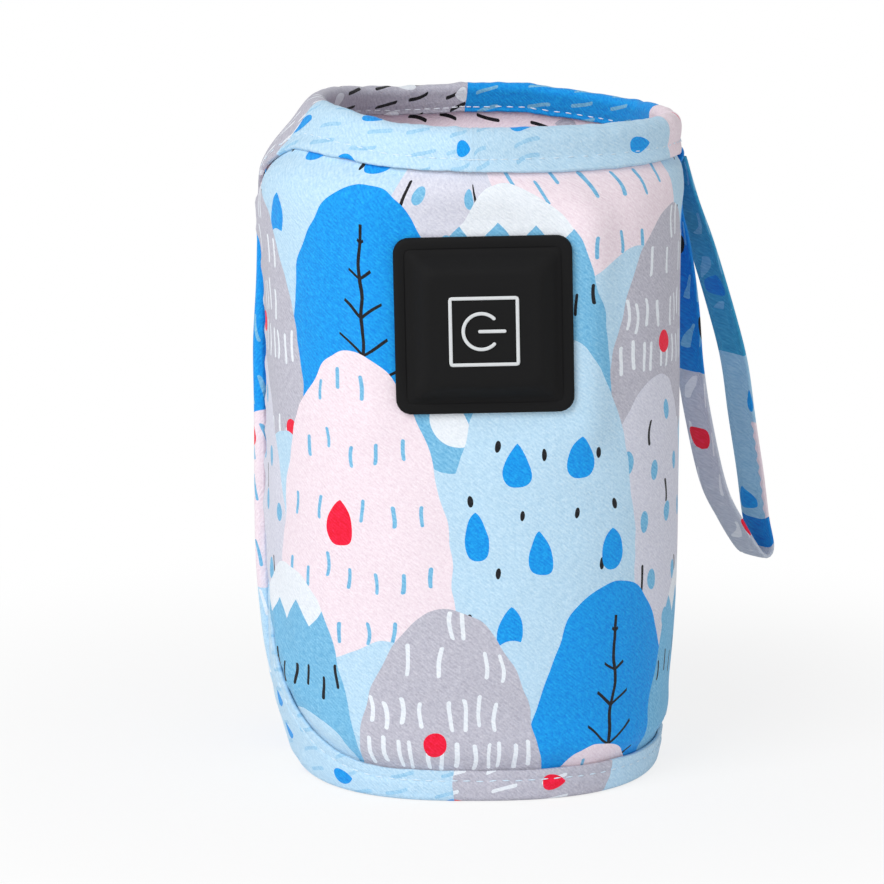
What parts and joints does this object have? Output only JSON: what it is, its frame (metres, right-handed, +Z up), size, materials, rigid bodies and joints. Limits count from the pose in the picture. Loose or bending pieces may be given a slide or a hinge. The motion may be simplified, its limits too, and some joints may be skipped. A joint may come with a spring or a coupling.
{
  "type": "bottle warmer",
  "caption": "Soft heated fabric sleeve that stands open at the top to hold and warm a feeding bottle, with a square push-button pad on the front and a hanging loop at the side.",
  "frame": {"origin": "middle of the base cloth, on the surface that the sleeve stands on", "axes": "+Z up towards the mouth, -Y towards the button pad's side, +X towards the hanging loop"},
  "size_m": [0.1232, 0.1027, 0.151],
  "materials": {
    "printed_cover": "printed twill",
    "printed_lining": "printed twill",
    "binding": "printed twill tape",
    "strap": "printed twill tape",
    "base_cloth": "printed twill",
    "foam": "soft foam",
    "heater_film": "film",
    "heater_track": "etched track",
    "silicone": "matte silicone",
    "icon_ink": "printed ink",
    "tray_plastic": "moulded",
    "plunger_plastic": "moulded",
    "board_laminate": "laminate",
    "led_lens": "clear lens",
    "steel": "plated",
    "lead_red": "sleeving",
    "lead_white": "sleeving",
    "lead_black": "sleeving",
    "grommet_rubber": "moulded"
  },
  "bodies": {
    "sleeve": {"outer_cover": "printed_cover", "insulation_foam": "foam", "heating_film": "heater_film", "heating_trace": "heater_track", "inner_lining": "printed_lining", "mouth_binding": "binding", "side_binding": "binding", "base_binding": "binding", "base_panel": "base_cloth", "base_foam": "foam", "base_lining": "printed_lining", "strap_anchor": "strap", "button_pad": "silicone", "switch_housing": "tray_plastic", "circuit_board": "board_laminate", "tact_switch": "tray_plastic", "indicator_led_1": "led_lens", "indicator_led_2": "led_lens", "indicator_led_3": "led_lens", "board_screw_1": "steel", "board_screw_2": "steel", "heater_lead_a": "lead_red", "heater_lead_b": "lead_white", "temperature_sensor": "steel", "thermal_cutout": "lead_white", "supply_lead": "lead_black", "lead_grommet": "grommet_rubber"},
    "button": {"power_button": "silicone", "icon_frame": "icon_ink", "icon_ring": "icon_ink", "icon_bar": "icon_ink", "switch_plunger": "plunger_plastic"},
    "strap": {"hanging_strap": "strap"}
  },
  "joints": [
    {"name": "button_press", "type": "slide", "parent": "sleeve", "child": "button", "axis": [0, 1, 0], "range_m": [0, 0.0006], "stiffness_N_per_m": 2500},
    {"name": "strap_swing", "type": "hinge", "parent": "sleeve", "child": "strap", "pos_m": [0.04527, 0.02796, 0.13545], "axis": [0.6428, -0.766, 0], "range_deg": [0, 150]}
  ]
}
